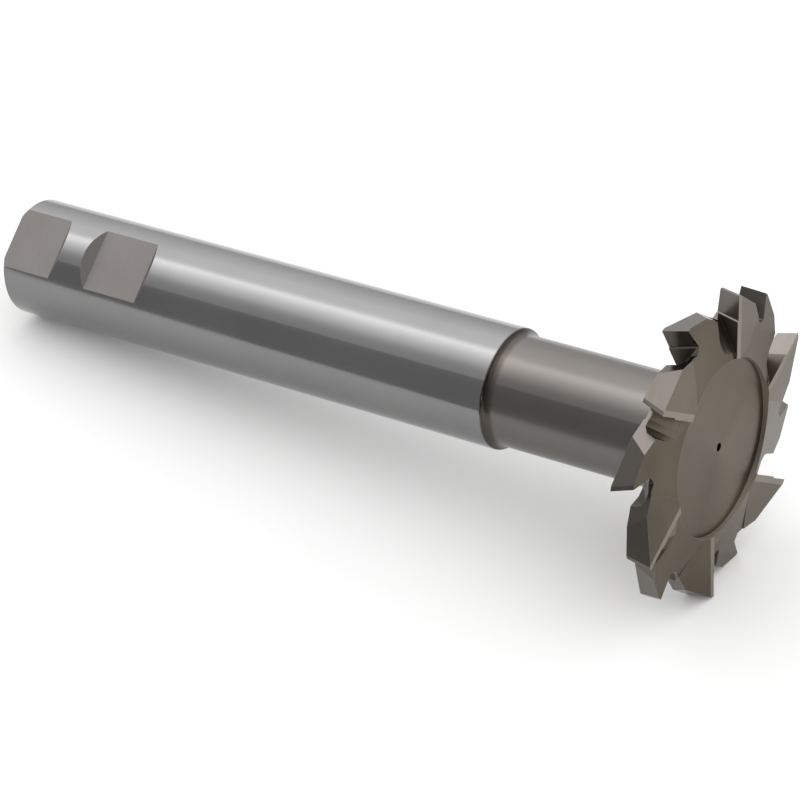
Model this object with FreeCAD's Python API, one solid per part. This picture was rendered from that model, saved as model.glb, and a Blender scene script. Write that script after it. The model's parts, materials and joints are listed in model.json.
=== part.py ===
import FreeCAD, Part
import math
import os

from FreeCAD import Placement, Rotation, Vector

# T slot cutter made in one piece: a head of twelve staggered teeth, a slim neck and a straight
# shank with two clamping flats. Sizes are millimetres and angles are degrees.
# The cutter is drawn upright, with its front face at z = 0 and its shank below, and then laid down.

# Driving dimensions
HEAD_DIAMETER = 63.5
HEAD_WIDTH = 7.6
SHANK_DIAMETER = 25.4
NECK_DIAMETER = 23.1
OVERALL_LENGTH = 171.45
SHANK_LENGTH = 123.1
TEETH = 12

# Shank and neck
SHANK_END_CHAMFER = 0.9
SHOULDER_ROUND = 0.5
NECK_FILLET = 1.6
HEAD_FILLET = 2.5

# Clamping flats: the rear one runs out at the end of the shank
FLAT_DEPTH = 2.0
FLAT_LENGTH = 13.5
REAR_FLAT_LENGTH = 12.85
FLAT_GAP = 9.8
FLAT_ANGLE = -12.7

# Centre holes
REAR_CENTRE_PILOT = 3.2
REAR_CENTRE_MOUTH = 6.7
REAR_CENTRE_DEPTH = 7.0
FRONT_CENTRE_PILOT = 1.8
FRONT_CENTRE_DEPTH = 4.0

# Head faces: a recessed web inside the side teeth, and a slope that clears each idle side
WEB_RADIUS = 18.3
WEB_DEPTH = 1.6
IDLE_SIDE_STEP = 0.7
IDLE_SIDE_SLOPE = 8.8
IDLE_SIDE_TURN = 17.0
IDLE_SIDE_WIDTH = 15.1

# Teeth
FIRST_TOOTH_ANGLE = -64.6
TOOTH_PITCH = 360.0 / TEETH
RADIAL_RAKE = 8.0
TOOTH_HELIX = 18.0
FACE_DEPTH = 5.4
FACE_LEDGE = 0.3
FLUTE_FLOOR_WIDTH = 1.6
FLUTE_FLOOR_DROP = 0.9
FLUTE_OPENING = 58.0
FLUTE_REACH = 20.0
LAND_WIDTH = 0.9
LAND_RELIEF = 6.0
BACK_RELIEF = 28.5
BACK_LENGTH = 12.0

# Side gash in front of each side cutting edge, deep at the cutting side
GASH_FLOOR_RADIUS = 18.6
GASH_WIDTH = 5.3
GASH_CORNER = 2.2
GASH_FLOOR_SLOPE = 56.0

# Side relief behind each side cutting edge
SIDE_LAND_WIDTH = 1.2
SIDE_RELIEF = 0.15
SIDE_DISH = 0.01

# Lying position: the direction in the front plane that is turned to the ground
LYING_ANGLE = 130.0
SETTLING_PASSES = 12

# How far the cuts run past the surfaces they open
OVERCUT = 3.0
OUTSIDE = 14.0

head_radius = HEAD_DIAMETER / 2
shank_radius = SHANK_DIAMETER / 2
neck_radius = NECK_DIAMETER / 2
shoulder_z = SHANK_LENGTH - OVERALL_LENGTH
rake_sin = math.sin(math.radians(RADIAL_RAKE))
rake_cos = math.cos(math.radians(RADIAL_RAKE))
edge_along = Vector(rake_cos, rake_sin, 0)
edge_ahead = Vector(-rake_sin, rake_cos, 0)
tip = Vector(head_radius, 0, 0)
up = Vector(0, 0, 1)
helix_lag = math.tan(math.radians(TOOTH_HELIX))


def face_of(points):
    return Part.Face(Part.makePolygon(points + points[:1]))


def beside_edge(inward, ahead, height=0.0):
    """Point measured from the tooth tip: inward along its side edge, ahead of its face, and up."""
    return tip - edge_along * inward + edge_ahead * ahead + up * height


def swept(points, step_down):
    """Prism through the whole head of an outline drawn in the front plane. step_down is how the
    outline moves for each millimetre down."""
    start = step_down * -OVERCUT
    travel = step_down * (HEAD_WIDTH + 2 * OVERCUT)
    return face_of([point + start for point in points]).extrude(travel)


def blank():
    """Turned body: shank, neck and a plain disc with a recessed web on both sides."""
    web_rear = -HEAD_WIDTH + WEB_DEPTH
    outline = [
        Vector(0, 0, -OVERALL_LENGTH),
        Vector(shank_radius - SHANK_END_CHAMFER, 0, -OVERALL_LENGTH),
        Vector(shank_radius, 0, SHANK_END_CHAMFER - OVERALL_LENGTH),
        Vector(shank_radius, 0, shoulder_z),
        Vector(neck_radius, 0, shoulder_z),
        Vector(neck_radius, 0, web_rear),
        Vector(WEB_RADIUS, 0, web_rear),
        Vector(WEB_RADIUS, 0, -HEAD_WIDTH),
        Vector(head_radius, 0, -HEAD_WIDTH),
        Vector(head_radius, 0, 0),
        Vector(WEB_RADIUS, 0, 0),
        Vector(WEB_RADIUS, 0, -WEB_DEPTH),
        Vector(0, 0, -WEB_DEPTH),
    ]
    body = face_of(outline).revolve(Vector(0, 0, 0), up, 360)
    body = body.makeFillet(SHOULDER_ROUND, ring_edges(body, shank_radius, shoulder_z))
    body = body.makeFillet(NECK_FILLET, ring_edges(body, neck_radius, shoulder_z))
    return body.makeFillet(HEAD_FILLET, ring_edges(body, neck_radius, web_rear))


def ring_edges(body, radius, height):
    rings = []
    for edge in body.Edges:
        curve = edge.Curve
        if isinstance(curve, Part.Circle) and abs(curve.Radius - radius) < 0.01:
            if abs(curve.Center.z - height) < 0.01:
                rings.append(edge)
    return rings


def flat_cut(front_z, length, rear_open):
    """Flat on the shank whose end walls slope at 45 degrees."""
    floor = shank_radius - FLAT_DEPTH
    top = FLAT_DEPTH + OVERCUT
    rear_z = front_z - length
    rear_top = rear_z if rear_open else rear_z - top
    outline = [
        Vector(floor, -shank_radius, rear_z),
        Vector(floor, -shank_radius, front_z),
        Vector(floor + top, -shank_radius, front_z + top),
        Vector(floor + top, -shank_radius, rear_top),
    ]
    cut = face_of(outline).extrude(Vector(0, SHANK_DIAMETER, 0))
    cut.rotate(Vector(0, 0, 0), up, FLAT_ANGLE)
    return cut


def flat_cuts():
    rear_front = REAR_FLAT_LENGTH - OVERALL_LENGTH
    front_front = rear_front + FLAT_GAP + FLAT_LENGTH
    return [
        flat_cut(rear_front, REAR_FLAT_LENGTH + OVERCUT, True),
        flat_cut(front_front, FLAT_LENGTH, False),
    ]


def centre_cuts():
    """Centre hole with a 60 degree mouth in the rear end, and a small one in the web."""
    mouth_depth = (REAR_CENTRE_MOUTH - REAR_CENTRE_PILOT) / 2 / math.tan(math.radians(30))
    rear = Vector(0, 0, -OVERALL_LENGTH)
    pilot = Part.makeCylinder(REAR_CENTRE_PILOT / 2, REAR_CENTRE_DEPTH, rear, up)
    mouth = Part.makeCone(REAR_CENTRE_MOUTH / 2, REAR_CENTRE_PILOT / 2, mouth_depth, rear, up)
    web = Vector(0, 0, -WEB_DEPTH)
    front = Part.makeCylinder(FRONT_CENTRE_PILOT / 2, FRONT_CENTRE_DEPTH, web, -up)
    return [pilot.fuse(mouth), front]


def flute():
    """Groove that gives a tooth its radial cutting face, with an open far side."""
    opening = math.radians(FLUTE_OPENING)
    foot = FACE_DEPTH + FLUTE_FLOOR_DROP
    far = foot - FLUTE_REACH * math.cos(opening)
    far_ahead = FLUTE_FLOOR_WIDTH + FLUTE_REACH * math.sin(opening)
    outline = [
        beside_edge(-OUTSIDE, 0),
        beside_edge(FACE_DEPTH, 0),
        beside_edge(foot, FLUTE_FLOOR_WIDTH),
        beside_edge(far, far_ahead),
        beside_edge(-OUTSIDE, far_ahead),
    ]
    return swept(outline, -up - edge_ahead * helix_lag)


def side_gash():
    """Pocket that gives a tooth its side cutting edge. Its floor climbs to the idle side."""
    depth = head_radius * rake_cos - math.sqrt(GASH_FLOOR_RADIUS ** 2 - (head_radius * rake_sin) ** 2)
    outline = [
        beside_edge(-2 * OUTSIDE, FACE_LEDGE),
        beside_edge(depth, FACE_LEDGE),
        beside_edge(depth - 0.2 * GASH_CORNER, GASH_WIDTH - GASH_CORNER),
        beside_edge(depth - 0.6 * GASH_CORNER, GASH_WIDTH - 0.4 * GASH_CORNER),
        beside_edge(depth - 1.4 * GASH_CORNER, GASH_WIDTH),
        beside_edge(-2 * OUTSIDE, GASH_WIDTH),
    ]
    climb = math.tan(math.radians(GASH_FLOOR_SLOPE))
    return swept(outline, edge_along * climb - up - edge_ahead * helix_lag)


def tooth_back():
    """Narrow land behind the radial edge, then one long relief facet."""
    land = math.radians(LAND_RELIEF)
    back = math.radians(BACK_RELIEF)
    land_end = tip - Vector(math.sin(land), math.cos(land), 0) * LAND_WIDTH
    back_end = land_end - Vector(math.sin(back), math.cos(back), 0) * BACK_LENGTH
    outline = [
        tip,
        land_end,
        back_end,
        back_end + Vector(OUTSIDE, 0, 0),
        tip + Vector(OUTSIDE, 0, 0),
    ]
    return swept(outline, Vector(0, -helix_lag, -1))


def plan_area(points):
    """Everything in the head inside an outline drawn in the front plane."""
    outline = [point - up * HEAD_WIDTH for point in points]
    return face_of(outline).extrude(up * (HEAD_WIDTH + OVERCUT))


def side_relief():
    """Clearance behind a side cutting edge, dished a little towards the axis. It ends at a line
    beside the previous front cutting tooth."""
    drop = SIDE_RELIEF * head_radius
    behind = -SIDE_LAND_WIDTH - head_radius
    rise = SIDE_DISH * OUTSIDE
    outline = [
        beside_edge(-OUTSIDE, OVERCUT, rise),
        beside_edge(-OUTSIDE, -SIDE_LAND_WIDTH, rise),
        beside_edge(-OUTSIDE, behind, rise - drop),
        beside_edge(-OUTSIDE, behind, OVERCUT),
        beside_edge(-OUTSIDE, OVERCUT, OVERCUT),
    ]
    relief = face_of(outline).extrude((edge_along + up * SIDE_DISH) * -(OUTSIDE + head_radius))
    area = plan_area([
        beside_edge(-OUTSIDE, IDLE_SIDE_WIDTH),
        beside_edge(head_radius, IDLE_SIDE_WIDTH),
        beside_edge(head_radius, IDLE_SIDE_WIDTH + HEAD_DIAMETER),
        beside_edge(-OUTSIDE, IDLE_SIDE_WIDTH + HEAD_DIAMETER),
    ])
    area.rotate(Vector(0, 0, 0), up, -2 * TOOTH_PITCH)
    return relief.common(area)


def idle_side():
    """Slope that clears the front of the tooth ahead, which cuts on its other side. It lies
    between this tooth's gash and the end of the next front cutting tooth's side relief."""
    slope = math.tan(math.radians(IDLE_SIDE_SLOPE))
    inner = WEB_RADIUS - OVERCUT
    outer = head_radius + OUTSIDE
    wedge = face_of([
        Vector(inner, -HEAD_DIAMETER, slope * OVERCUT - IDLE_SIDE_STEP),
        Vector(outer, -HEAD_DIAMETER, slope * (WEB_RADIUS - outer) - IDLE_SIDE_STEP),
        Vector(outer, -HEAD_DIAMETER, OVERCUT),
        Vector(inner, -HEAD_DIAMETER, OVERCUT),
    ]).extrude(Vector(0, 2 * HEAD_DIAMETER, 0))
    wedge.rotate(Vector(0, 0, 0), up, IDLE_SIDE_TURN)
    strip = plan_area([
        beside_edge(-OUTSIDE, FACE_LEDGE),
        beside_edge(head_radius, FACE_LEDGE),
        beside_edge(head_radius, IDLE_SIDE_WIDTH),
        beside_edge(-OUTSIDE, IDLE_SIDE_WIDTH),
    ])
    return wedge.common(strip)


def head_cuts():
    """All cuts of the teeth: a front cutting tooth, its mirror image half a step on, repeated."""
    front_tooth = [flute(), side_gash(), tooth_back(), side_relief(), idle_side()]
    cuts = []
    for index in range(TEETH):
        for shape in front_tooth:
            cut = shape.copy()
            if index % 2:
                cut = cut.mirror(Vector(0, 0, -HEAD_WIDTH / 2), up)
            cut.rotate(Vector(0, 0, 0), up, FIRST_TOOTH_ANGLE + index * TOOTH_PITCH)
            cuts.append(cut)
    return cuts


def upright_cutter():
    return blank().cut(flat_cuts() + centre_cuts() + head_cuts())


def ground_direction(cutter):
    """Direction of the ground, in the upright position, when the cutter lies on two teeth and on
    the rear rim of its shank. Each pass lays a plane on the rim and the lowest corner on either
    side of the head."""
    angle = math.radians(LYING_ANGLE)
    down = Vector(math.cos(angle), math.sin(angle), 0)
    corners = [vertex.Point for vertex in cutter.Vertexes if vertex.Z > shoulder_z]
    rim_z = SHANK_END_CHAMFER - OVERALL_LENGTH
    for index in range(SETTLING_PASSES):
        across = Vector(down.x, down.y, 0).normalize()
        rim = across * shank_radius + up * rim_z
        ahead = [point for point in corners if up.cross(across).dot(point) > 0]
        behind = [point for point in corners if up.cross(across).dot(point) <= 0]
        support = [max(ahead, key=down.dot) - rim, max(behind, key=down.dot) - rim]
        down = support[0].cross(support[1]).normalize()
        if down.dot(across) < 0:
            down = -down
    return down


def lying_cutter():
    """The cutter at rest: its axis along x with the head at the positive end, its lowest points at
    z = 0 and the middle of its outline at the origin."""
    cutter = upright_cutter()
    down = ground_direction(cutter)
    level = (up - down * up.dot(down)).normalize()
    turn = Rotation(level, Vector(0, 0, 0), -down, "ZXY").inverted()
    cutter.Placement = Placement(Vector(0, 0, 0), turn)
    box = cutter.optimalBoundingBox(False, False)
    cutter.translate(Vector(-box.Center.x, -box.Center.y, -box.ZMin))
    return cutter


os.makedirs("parts", exist_ok=True)
lying_cutter().exportStep("parts/t_slot_cutter.step")
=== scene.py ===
import json
import math

import bpy
from mathutils import Matrix, Vector

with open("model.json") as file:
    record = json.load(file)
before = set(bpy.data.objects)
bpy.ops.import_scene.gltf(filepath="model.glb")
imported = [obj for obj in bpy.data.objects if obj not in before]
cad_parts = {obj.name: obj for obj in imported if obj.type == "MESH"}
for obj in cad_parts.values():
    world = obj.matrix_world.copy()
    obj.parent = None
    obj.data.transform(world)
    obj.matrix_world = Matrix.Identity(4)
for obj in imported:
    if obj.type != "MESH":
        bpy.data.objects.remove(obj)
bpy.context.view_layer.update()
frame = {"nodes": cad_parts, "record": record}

# Sizes of the cutter in metres. Places along its axis are counted from the plane of the front
# cutting edges, and are negative towards the shank.
MOUNT_TO_FRONT = 0.1097
SHOULDER = -0.04835
SHOULDER_ROUND = 0.0007
SHANK_RADIUS = 0.0127
HEAD_WIDTH = 0.0076
WEB_RADIUS = 0.0183
FLARE_RADIUS = 0.0163
GASH_RADIUS = 0.0262
NEAR = 0.0001
JUST_BELOW = 0.00006

# The axis points from the rear end to the head. The other two directions go across it.
mounts = {mount["name"]: mount for mount in frame["record"]["mounts"]}
AXIS = -Vector(mounts["shank"]["axis"]).normalized()
FRONT = Vector(mounts["shank"]["pos_m"]) + AXIS * MOUNT_TO_FRONT
FLAT = Vector(mounts["front_flat"]["axis"]).normalized()
SIDE = AXIS.cross(FLAT).normalized()

# How a face lies, as the cosine of its angle. The first six are against the axis, and the last
# two against the way out from it.
EXACTLY_SQUARE = 0.999
SQUARE = 0.995
NEARLY_SQUARE = 0.97
LEANING = 0.6
HALF_TURNED = 0.5
WALL = 0.2
INWARD = -0.9
OUTWARD = 0.3

# Camera: its place, its three directions and its focal length in pixels of an 800 pixel picture
CAMERA_PLACE = (0.307409, -0.467095, 0.412526)
CAMERA_RIGHT = (0.836613, 0.547589, 0.01498)
CAMERA_UP = (-0.330893, 0.483372, 0.81047)
CAMERA_BACK = (0.436563, -0.683007, 0.585589)
FOCAL_PIXELS = 3297.05
PICTURE_PIXELS = 800
SENSOR_MM = 36.0

# Studio: a soft strip light overhead, a wide soft panel on the far side and a darker near side,
# all weaker to the right. Each level is given for an angle in degrees from straight
# overhead: negative is the far side.
SKY = ((-90, 0.7), (-40, 1.9), (-14, 2.1), (-4, 3.5), (14, 2.2), (36, 1.0), (66, 0.4))
SKY_TOP = 4.0
RIGHT_SIDE = 0.4
RIGHT_REACH = 0.5
ROOM_LIGHT = 1.3


def rgb(red, green, blue):
    """Linear colour from screen values between 0 and 255."""
    return tuple(
        (value / 255 / 12.92) if value <= 10 else ((value / 255 + 0.055) / 1.055) ** 2.4
        for value in (red, green, blue)
    ) + (1.0,)


# Floor: a square of pale paper with two tones that hardly differ
FLOOR_SIZE = 3.0
FLOOR_FRONT = -0.075
PAPER_SCALE = 3.0
PAPER_TONES = (rgb(240, 240, 240), rgb(243, 243, 242))

# What every finish has in common: fine lines, broad patches, a painted dark reflection band on
# the shoulder between shank and neck (where it starts, is full, fades and ends), painted shade
# with some grime where a place is sheltered, and wear with a painted highlight where the surface
# bends at an edge
FINE_SCALE = 900.0
FINE_ROUGH = 0.03
LINES = 6.0
LINES_ALONG = 0.3
BROAD_SCALE = 60.0
BROAD_ROUGH = 0.02
# Painted dark reflection: the colour of the band across the shoulder fillet
SHOULDER_DARK_REFLECTION_TINT = rgb(84, 79, 73)
SHOULDER_DARK_REFLECTION_BAND = (-0.0005, -0.0002, 0.0012, 0.0021)
# Painted shade together with grime: the colour that sheltered places are darkened towards
SHADE_AND_GRIME_TINT = rgb(42, 35, 29)
SHADE_AND_GRIME_REACH = 0.003
SHELTERED = 0.35
OPEN = 0.95
# Wear together with a painted highlight: the lighter colour that edges take
WEAR_AND_HIGHLIGHT_TINT = rgb(157, 153, 147)
EDGE_RADIUS = 0.00012
EDGE_STARTS = 0.999
EDGE_SHARP = 0.93

# Finishes: the two tones, the roughness, how the grinding lines run (around, disc or across) and
# how deep they are, then grain, spread of the highlight, edge wear with a painted highlight, and
# painted shade with grime in hollows, where they differ
FINISHES = {
    "shank_ground": dict(
        light=rgb(133, 133, 133), dark=rgb(129, 129, 129), rough=0.14,
        lines="around", depth=0.0000006, grain=0.05, spread=0.3, wear_and_highlight=0.2,
    ),
    "flat_ground": dict(
        light=rgb(125, 122, 120), dark=rgb(119, 115, 113), rough=0.44,
        lines="across", depth=0.000003, wear_and_highlight=0.3,
    ),
    "neck_turned": dict(
        light=rgb(111, 108, 105), dark=rgb(108, 104, 101), rough=0.24,
        lines="around", depth=0.0000015, spread=0.3, wear_and_highlight=0.2,
    ),
    "side_ground": dict(
        light=rgb(100, 91, 78), dark=rgb(82, 74, 62), rough=0.34,
        lines="disc", depth=0.000002, spread=0.6, wear_and_highlight=0.35,
    ),
    "side_land": dict(
        light=rgb(134, 127, 114), dark=rgb(127, 120, 108), rough=0.4,
        lines="across", depth=0.000002, wear_and_highlight=0.35,
    ),
    # The wall's tone, much lighter than the web's, is painted light on the recess wall
    "web_wall": dict(
        light=rgb(165, 156, 142), dark=rgb(158, 149, 136), rough=0.6,
        lines="across", depth=0.000002, wear_and_highlight=0.2,
    ),
    "face_ground": dict(
        light=rgb(102, 97, 92), dark=rgb(98, 93, 88), rough=0.24,
        lines="across", depth=0.000002, wear_and_highlight=0.35,
    ),
    # The gashes get the most painted shade, together with grime, in their hollows
    "gash_milled": dict(
        light=rgb(112, 105, 96), dark=rgb(103, 96, 87), rough=0.42,
        lines="across", depth=0.000004, grain=0.12, wear_and_highlight=0.3, shade_and_grime=0.45,
    ),
    "pocket_floor": dict(
        light=rgb(128, 119, 107), dark=rgb(121, 112, 101), rough=0.42,
        lines="across", depth=0.000004, grain=0.12, wear_and_highlight=0.3, shade_and_grime=0.1,
    ),
    "rake_ground": dict(
        light=rgb(131, 126, 119), dark=rgb(126, 120, 114), rough=0.3,
        lines="across", depth=0.000002, wear_and_highlight=0.35,
    ),
}


class Tree:
    """A node tree with short ways to add and join nodes."""

    def __init__(self, tree):
        self.tree = tree
        self.tree.nodes.clear()

    def join(self, source, target):
        self.tree.links.new(source, target)

    def node(self, kind, **settings):
        made = self.tree.nodes.new(kind)
        for key, value in settings.items():
            setattr(made, key, value)
        return made

    def feed(self, socket, value):
        if hasattr(value, "is_output"):
            self.join(value, socket)
        else:
            socket.default_value = value

    def maths(self, operation, *values, clamp=False):
        made = self.node("ShaderNodeMath", operation=operation, use_clamp=clamp)
        for index, value in enumerate(values):
            self.feed(made.inputs[index], value)
        return made.outputs[0]

    def vector(self, operation, *values):
        made = self.node("ShaderNodeVectorMath", operation=operation)
        for index, value in enumerate(values):
            self.feed(made.inputs[index], value)
        name = "Value" if operation in ("DOT_PRODUCT", "LENGTH") else "Vector"
        return made.outputs[name]

    def combine(self, x, y, z):
        made = self.node("ShaderNodeCombineXYZ")
        for index, value in enumerate((x, y, z)):
            self.feed(made.inputs[index], value)
        return made.outputs[0]

    def noise(self, vector, scale, detail=3.0, rough=0.55):
        made = self.node("ShaderNodeTexNoise")
        self.join(vector, made.inputs["Vector"])
        made.inputs["Scale"].default_value = scale
        made.inputs["Detail"].default_value = detail
        made.inputs["Roughness"].default_value = rough
        return made.outputs["Fac"]

    def span(self, value, low, high, to_low=0.0, to_high=1.0):
        made = self.node("ShaderNodeMapRange")
        self.feed(made.inputs["Value"], value)
        made.inputs["From Min"].default_value = low
        made.inputs["From Max"].default_value = high
        made.inputs["To Min"].default_value = to_low
        made.inputs["To Max"].default_value = to_high
        return made.outputs["Result"]

    def mix(self, factor, first, second, blend="MIX"):
        made = self.node("ShaderNodeMix", data_type="RGBA", blend_type=blend)
        self.feed(made.inputs[0], factor)
        self.feed(made.inputs[6], first)
        self.feed(made.inputs[7], second)
        return made.outputs[2]

    def dimmed(self, colour, factor):
        return self.mix(1.0, colour, self.combine(factor, factor, factor), "MULTIPLY")

    def ramp(self, value, stops):
        made = self.node("ShaderNodeValToRGB")
        self.feed(made.inputs["Fac"], value)
        points = made.color_ramp.elements
        while len(points) < len(stops):
            points.new(0.5)
        for point, (place, colour) in zip(points, stops):
            point.position = place
        for point, (place, colour) in zip(points, stops):
            point.color = colour
        return made.outputs["Color"]


class Surface(Tree):
    """A new material with one main shader."""

    def __init__(self, name):
        self.material = bpy.data.materials.new(name)
        self.material.use_nodes = True
        super().__init__(self.material.node_tree)
        self.shader = self.node("ShaderNodeBsdfPrincipled")
        self.join(self.shader.outputs[0], self.node("ShaderNodeOutputMaterial").inputs[0])

    def set(self, **values):
        for name, value in values.items():
            self.shader.inputs[name.replace("_", " ")].default_value = value


def steel(name, light, dark, rough, lines, depth, grain=0.08, spread=0.0, wear_and_highlight=0.0, shade_and_grime=0.0):
    """Bare steel with fine grinding lines, edges lightened by wear and a painted highlight,
    painted shade with some grime in its hollows and a painted dark reflection band on the
    shoulder.
    """
    made = Surface(name)
    place = made.node("ShaderNodeTexCoord").outputs["Object"]
    offset = made.vector("SUBTRACT", place, tuple(FRONT))
    x, y, z = (made.vector("DOT_PRODUCT", offset, tuple(way)) for way in (FLAT, SIDE, AXIS))
    if lines == "around":
        streak = made.combine(0.0, 0.0, made.maths("MULTIPLY", z, LINES))
    elif lines == "disc":
        radius = made.vector("LENGTH", made.combine(x, y, 0.0))
        streak = made.combine(0.0, 0.0, made.maths("MULTIPLY", radius, LINES))
    else:
        streak = made.combine(
            made.maths("MULTIPLY", x, LINES_ALONG),
            made.maths("MULTIPLY", y, LINES_ALONG),
            made.maths("MULTIPLY", z, LINES),
        )
    fine = made.noise(streak, FINE_SCALE, detail=2.0, rough=0.6)
    broad = made.noise(made.combine(x, y, z), BROAD_SCALE, detail=2.0, rough=0.5)

    tint = made.mix(made.span(broad, 0.3, 0.7), dark, light)
    tint = made.dimmed(tint, made.span(fine, 0.25, 0.75, 1.0 - grain, 1.0 + grain * 0.4))

    # Painted dark reflection: a dark band painted across the shoulder fillet
    start, full, fade, end = (SHOULDER + step for step in SHOULDER_DARK_REFLECTION_BAND)
    dark_reflection_band = made.maths("MULTIPLY", made.span(z, start, full), made.span(z, fade, end, 1.0, 0.0))
    tint = made.mix(dark_reflection_band, tint, SHOULDER_DARK_REFLECTION_TINT)

    # Painted shade together with grime: sheltered places are darkened by ambient occlusion
    shelter = made.node("ShaderNodeAmbientOcclusion", samples=8)
    shelter.inputs["Distance"].default_value = SHADE_AND_GRIME_REACH
    painted_shade_and_grime = made.span(shelter.outputs["AO"], SHELTERED, OPEN, shade_and_grime, 0.0)
    tint = made.mix(painted_shade_and_grime, tint, SHADE_AND_GRIME_TINT)

    bevel = made.node("ShaderNodeBevel", samples=6)
    bevel.inputs["Radius"].default_value = EDGE_RADIUS
    normal = made.node("ShaderNodeNewGeometry").outputs["Normal"]
    bend = made.vector("DOT_PRODUCT", bevel.outputs[0], normal)
    # Edges are lightened: wear together with a painted highlight
    tint = made.mix(made.span(bend, EDGE_STARTS, EDGE_SHARP, 0.0, wear_and_highlight), tint, WEAR_AND_HIGHLIGHT_TINT)
    made.join(tint, made.shader.inputs["Base Color"])

    level = made.maths(
        "ADD",
        made.span(fine, 0.2, 0.8, -FINE_ROUGH, FINE_ROUGH),
        made.span(broad, 0.3, 0.7, -BROAD_ROUGH, BROAD_ROUGH),
    )
    made.join(made.maths("ADD", level, rough, clamp=True), made.shader.inputs["Roughness"])
    made.set(Metallic=1.0)

    bump = made.node("ShaderNodeBump")
    bump.inputs["Strength"].default_value = 1.0
    bump.inputs["Distance"].default_value = depth
    made.join(fine, bump.inputs["Height"])
    made.join(bevel.outputs[0], bump.inputs["Normal"])
    made.join(bump.outputs[0], made.shader.inputs["Normal"])

    if spread:
        made.set(Anisotropic=spread)
        across = offset if lines == "disc" else normal
        around = made.vector("CROSS_PRODUCT", tuple(AXIS), across)
        made.join(made.vector("NORMALIZE", around), made.shader.inputs["Tangent"])
    return made.material


def finish_of(centre, normal):
    """Which finish a face has, from its place and the way it faces in the cutter's own frame."""
    offset = centre - FRONT
    along = offset.dot(AXIS)
    radial = offset - AXIS * along
    radius = radial.length
    facing = normal.dot(AXIS)
    outward = normal.dot(radial) / max(radius, 1e-6)

    if along < SHOULDER - NEAR:
        on_flat = radius < SHANK_RADIUS - JUST_BELOW and along < SHOULDER - SHOULDER_ROUND
        return "flat_ground" if on_flat else "shank_ground"
    behind_head = along < -HEAD_WIDTH - NEAR
    in_flare = radius < FLARE_RADIUS and facing < HALF_TURNED
    if abs(facing) < SQUARE and (behind_head or in_flare):
        return "neck_turned"
    if abs(facing) > EXACTLY_SQUARE and radius > WEB_RADIUS:
        return "side_land"
    if abs(facing) > NEARLY_SQUARE:
        return "side_ground"
    if radius < WEB_RADIUS + 2 * NEAR and abs(facing) < WALL and outward < INWARD:
        return "web_wall"
    if facing > LEANING:
        return "pocket_floor"
    if facing < -LEANING or (outward < OUTWARD and radius < GASH_RADIUS):
        return "gash_milled"
    return "rake_ground" if outward < OUTWARD and facing < 0 else "face_ground"


def dress(mesh):
    """Give each face of the cutter its finish."""
    mesh.materials.clear()
    for name, settings in FINISHES.items():
        mesh.materials.append(steel(name, **settings))
    order = list(FINISHES)
    for polygon in mesh.polygons:
        polygon.material_index = order.index(finish_of(polygon.center, polygon.normal))


def look():
    """A camera at the photograph's viewing angle."""
    data = bpy.data.cameras.new("camera")
    data.lens = FOCAL_PIXELS / PICTURE_PIXELS * SENSOR_MM
    data.sensor_width = SENSOR_MM
    data.clip_start = 0.01
    data.clip_end = 20.0
    camera = bpy.data.objects.new("camera", data)
    bpy.context.scene.collection.objects.link(camera)
    turn = Matrix((CAMERA_RIGHT, CAMERA_UP, CAMERA_BACK)).transposed()
    camera.matrix_world = Matrix.Translation(CAMERA_PLACE) @ turn.to_4x4()
    bpy.context.scene.camera = camera
    bpy.context.scene.view_settings.view_transform = "Standard"


def floor():
    """A plain pale table top. It ends a little in front of the cutter."""
    middle = FLOOR_FRONT + FLOOR_SIZE / 2
    bpy.ops.mesh.primitive_plane_add(size=FLOOR_SIZE, location=(0, middle, 0))
    plane = bpy.context.object
    plane.name = "floor"
    made = Surface("floor_paper")
    place = made.node("ShaderNodeTexCoord").outputs["Object"]
    tone = made.span(made.noise(place, PAPER_SCALE), 0.3, 0.7)
    made.join(made.mix(tone, *PAPER_TONES), made.shader.inputs["Base Color"])
    made.set(Roughness=0.9, Specular_IOR_Level=0.1)
    plane.data.materials.append(made.material)


def sky():
    """White all round for the camera and the floor. The steel mirrors the soft lights instead."""
    world = bpy.data.worlds.new("studio")
    bpy.context.scene.world = world
    world.use_nodes = True
    made = Tree(world.node_tree)
    parts = made.node("ShaderNodeSeparateXYZ")
    made.join(made.node("ShaderNodeTexCoord").outputs["Generated"], parts.inputs[0])
    turn = made.maths("ARCTAN2", parts.outputs["Y"], parts.outputs["Z"])
    stops = [((angle + 90) / 180, (level / SKY_TOP,) * 3 + (1,)) for angle, level in SKY]
    tones = made.ramp(made.span(turn, math.pi / 2, -math.pi / 2), stops)
    tones = made.dimmed(tones, made.span(parts.outputs["X"], 0.0, RIGHT_REACH, 1.0, RIGHT_SIDE))

    mirrored = made.node("ShaderNodeBackground")
    made.join(tones, mirrored.inputs["Color"])
    mirrored.inputs["Strength"].default_value = SKY_TOP
    room = made.node("ShaderNodeBackground")
    room.inputs["Color"].default_value = (1.0, 1.0, 1.0, 1.0)
    room.inputs["Strength"].default_value = ROOM_LIGHT
    both = made.node("ShaderNodeMixShader")
    made.join(made.node("ShaderNodeLightPath").outputs["Is Glossy Ray"], both.inputs[0])
    made.join(room.outputs[0], both.inputs[1])
    made.join(mirrored.outputs[0], both.inputs[2])
    made.join(both.outputs[0], made.node("ShaderNodeOutputWorld").inputs[0])


look()
dress(frame["nodes"]["t_slot_cutter"].data)
floor()
sky()
